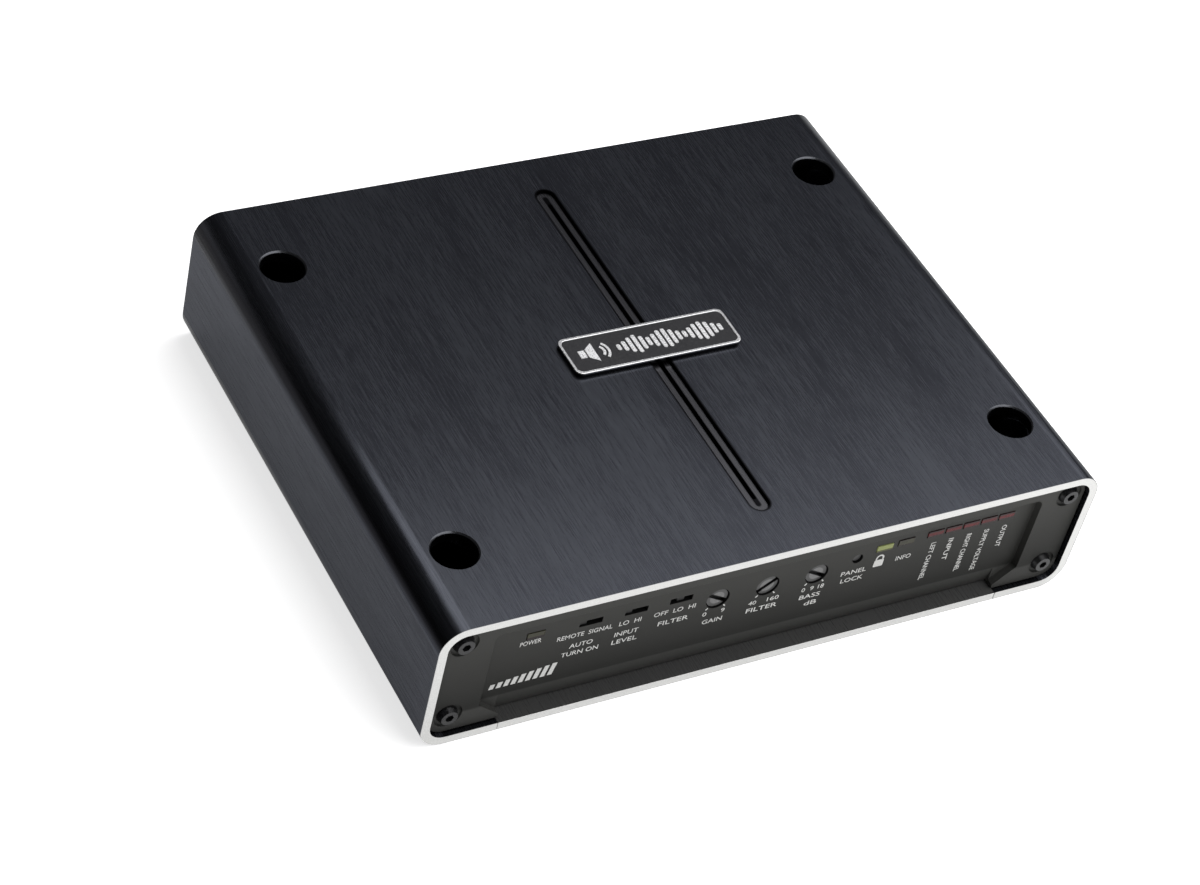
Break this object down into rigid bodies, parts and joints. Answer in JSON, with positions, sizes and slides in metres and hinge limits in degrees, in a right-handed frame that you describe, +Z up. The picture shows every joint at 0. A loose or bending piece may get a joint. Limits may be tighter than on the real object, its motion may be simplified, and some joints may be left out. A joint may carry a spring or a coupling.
{
  "type": "car amplifier",
  "caption": "Compact car audio amplifier: flat brushed case with bright ends, recessed control panel, badge on a centre groove, and screw terminals, phono inputs and fuses at the back.",
  "frame": {"origin": "centre of the underside, on the surface that the amplifier is fastened to", "axes": "+Z up through the top wall; +X along the width; the control panel faces -Y and the connection panel faces +Y"},
  "size_m": [0.186, 0.149, 0.0414],
  "materials": {
    "anodised_case": "charcoal brushed anodised extrusion with bright machined ends",
    "anodised_cover": "charcoal brushed anodised sheet with a bright cut edge",
    "panel": "dark grey fine satin coating",
    "badge_metal": "bright machined rim",
    "badge_face": "gloss black",
    "black_screw": "black oxide",
    "circuit_board": "green solder mask",
    "plated_screw": "nickel plated",
    "epoxy": "matte black epoxy",
    "thermal_pad": "grey silicone",
    "spring_steel": "zinc plated",
    "ferrite": "dark ceramic",
    "copper_wire": "enamelled copper",
    "powder_core": "yellow coating",
    "capacitor_sleeve": "dark blue sleeve",
    "blue_plastic": "moulded",
    "black_plastic": "moulded",
    "green_lens": "tinted lens",
    "red_lens": "dark red tinted lens",
    "gold_plate": "gold plated",
    "brass_contact": "bare brass",
    "tinned_contact": "tinned",
    "dial_plastic": "grey moulded",
    "lever_plastic": "dark moulded",
    "fuse_plastic": "tinted moulding"
  },
  "bodies": {
    "amplifier": {"chassis": "anodised_case", "bottom_cover": "anodised_cover", "front_panel": "panel", "rear_panel": "panel", "badge_rim": "badge_metal", "badge_plate": "badge_face", "front_panel_screws": "black_screw", "rear_panel_screws": "black_screw", "bottom_cover_screws": "black_screw", "main_board": "circuit_board", "board_screws": "plated_screw", "power_transistors": "epoxy", "thermal_pads": "thermal_pad", "clamp_bars": "spring_steel", "clamp_screws": "plated_screw", "transformer_core": "ferrite", "transformer_winding": "copper_wire", "choke_cores": "powder_core", "choke_windings": "copper_wire", "input_capacitors": "capacitor_sleeve", "rail_capacitors": "capacitor_sleeve", "control_chips": "epoxy", "dial_bodies": "blue_plastic", "switch_bodies": "black_plastic", "lock_switch_body": "black_plastic", "indicator_leds": "green_lens", "level_leds": "red_lens", "rca_housing": "black_plastic", "rca_shells": "gold_plate", "rca_sockets": "gold_plate", "remote_jack": "black_plastic", "speaker_terminal_block": "black_plastic", "power_terminal_block": "black_plastic", "terminal_plates": "brass_contact", "fuse_holder": "black_plastic", "fuse_clips": "tinned_contact"},
    "gain_dial": {"gain_dial": "dial_plastic"},
    "crossover_dial": {"crossover_dial": "dial_plastic"},
    "boost_dial": {"boost_dial": "dial_plastic"},
    "turn_on_switch": {"turn_on_switch": "lever_plastic"},
    "input_level_switch": {"input_level_switch": "lever_plastic"},
    "crossover_switch": {"crossover_switch": "lever_plastic"},
    "lock_button": {"lock_button": "black_plastic"},
    "left_fuse": {"left_fuse": "fuse_plastic"},
    "right_fuse": {"right_fuse": "fuse_plastic"},
    "speaker_1_washer": {"speaker_1_washer": "plated_screw"},
    "speaker_1_screw": {"speaker_1_screw": "plated_screw"},
    "speaker_2_washer": {"speaker_2_washer": "plated_screw"},
    "speaker_2_screw": {"speaker_2_screw": "plated_screw"},
    "speaker_3_washer": {"speaker_3_washer": "plated_screw"},
    "speaker_3_screw": {"speaker_3_screw": "plated_screw"},
    "speaker_4_washer": {"speaker_4_washer": "plated_screw"},
    "speaker_4_screw": {"speaker_4_screw": "plated_screw"},
    "power_1_washer": {"power_1_washer": "plated_screw"},
    "power_1_screw": {"power_1_screw": "plated_screw"},
    "power_2_washer": {"power_2_washer": "plated_screw"},
    "power_2_screw": {"power_2_screw": "plated_screw"},
    "power_3_washer": {"power_3_washer": "plated_screw"},
    "power_3_screw": {"power_3_screw": "plated_screw"}
  },
  "joints": [
    {"name": "gain_turn", "type": "hinge", "parent": "amplifier", "child": "gain_dial", "pos_m": [-0.0148, -0.066, 0.0239], "axis": [0, -1, 0], "range_deg": [-199, 81]},
    {"name": "crossover_turn", "type": "hinge", "parent": "amplifier", "child": "crossover_dial", "pos_m": [-0.0007, -0.066, 0.024], "axis": [0, -1, 0], "range_deg": [-84, 196]},
    {"name": "boost_turn", "type": "hinge", "parent": "amplifier", "child": "boost_dial", "pos_m": [0.0135, -0.066, 0.0238], "axis": [0, -1, 0], "range_deg": [-199, 81]},
    {"name": "turn_on_slide", "type": "slide", "parent": "amplifier", "child": "turn_on_switch", "axis": [1, 0, 0], "range_m": [0, 0.004]},
    {"name": "input_level_slide", "type": "slide", "parent": "amplifier", "child": "input_level_switch", "axis": [1, 0, 0], "range_m": [0, 0.004]},
    {"name": "crossover_slide", "type": "slide", "parent": "amplifier", "child": "crossover_switch", "axis": [1, 0, 0], "range_m": [-0.002, 0.002]},
    {"name": "lock_press", "type": "slide", "parent": "amplifier", "child": "lock_button", "axis": [0, 1, 0], "range_m": [0, 0.0005], "stiffness_N_per_m": 600},
    {"name": "left_fuse_pull", "type": "slide", "parent": "amplifier", "child": "left_fuse", "axis": [0, 1, 0], "range_m": [0, 0.01]},
    {"name": "right_fuse_pull", "type": "slide", "parent": "amplifier", "child": "right_fuse", "axis": [0, 1, 0], "range_m": [0, 0.01]},
    {"name": "speaker_1_washer_slide", "type": "slide", "parent": "amplifier", "child": "speaker_1_washer", "axis": [0, 1, 0], "range_m": [0, 0.004]},
    {"name": "speaker_1_screw_turn", "type": "hinge", "parent": "speaker_1_washer", "child": "speaker_1_screw", "pos_m": [0.0215, 0.066, 0.019], "axis": [0, 1, 0], "range_deg": [0, 2057.24]},
    {"name": "speaker_2_washer_slide", "type": "slide", "parent": "amplifier", "child": "speaker_2_washer", "axis": [0, 1, 0], "range_m": [0, 0.004]},
    {"name": "speaker_2_screw_turn", "type": "hinge", "parent": "speaker_2_washer", "child": "speaker_2_screw", "pos_m": [0.0125, 0.066, 0.019], "axis": [0, 1, 0], "range_deg": [0, 2057.24]},
    {"name": "speaker_3_washer_slide", "type": "slide", "parent": "amplifier", "child": "speaker_3_washer", "axis": [0, 1, 0], "range_m": [0, 0.004]},
    {"name": "speaker_3_screw_turn", "type": "hinge", "parent": "speaker_3_washer", "child": "speaker_3_screw", "pos_m": [0.0035, 0.066, 0.019], "axis": [0, 1, 0], "range_deg": [0, 2057.24]},
    {"name": "speaker_4_washer_slide", "type": "slide", "parent": "amplifier", "child": "speaker_4_washer", "axis": [0, 1, 0], "range_m": [0, 0.004]},
    {"name": "speaker_4_screw_turn", "type": "hinge", "parent": "speaker_4_washer", "child": "speaker_4_screw", "pos_m": [-0.0055, 0.066, 0.019], "axis": [0, 1, 0], "range_deg": [0, 2057.24]},
    {"name": "power_1_washer_slide", "type": "slide", "parent": "amplifier", "child": "power_1_washer", "axis": [0, 1, 0], "range_m": [0, 0.004]},
    {"name": "power_1_screw_turn", "type": "hinge", "parent": "power_1_washer", "child": "power_1_screw", "pos_m": [-0.041, 0.066, 0.019], "axis": [0, 1, 0], "range_deg": [0, 2057.24]},
    {"name": "power_2_washer_slide", "type": "slide", "parent": "amplifier", "child": "power_2_washer", "axis": [0, 1, 0], "range_m": [0, 0.004]},
    {"name": "power_2_screw_turn", "type": "hinge", "parent": "power_2_washer", "child": "power_2_screw", "pos_m": [-0.052, 0.066, 0.019], "axis": [0, 1, 0], "range_deg": [0, 2057.24]},
    {"name": "power_3_washer_slide", "type": "slide", "parent": "amplifier", "child": "power_3_washer", "axis": [0, 1, 0], "range_m": [0, 0.004]},
    {"name": "power_3_screw_turn", "type": "hinge", "parent": "power_3_washer", "child": "power_3_screw", "pos_m": [-0.063, 0.066, 0.019], "axis": [0, 1, 0], "range_deg": [0, 2057.24]}
  ],
  "couplings": [
    {"joint": "speaker_1_screw_turn", "follows": "speaker_1_washer_slide", "rad_per_m": 8976},
    {"joint": "speaker_2_screw_turn", "follows": "speaker_2_washer_slide", "rad_per_m": 8976},
    {"joint": "speaker_3_screw_turn", "follows": "speaker_3_washer_slide", "rad_per_m": 8976},
    {"joint": "speaker_4_screw_turn", "follows": "speaker_4_washer_slide", "rad_per_m": 8976},
    {"joint": "power_1_screw_turn", "follows": "power_1_washer_slide", "rad_per_m": 8976},
    {"joint": "power_2_screw_turn", "follows": "power_2_washer_slide", "rad_per_m": 8976},
    {"joint": "power_3_screw_turn", "follows": "power_3_washer_slide", "rad_per_m": 8976}
  ]
}
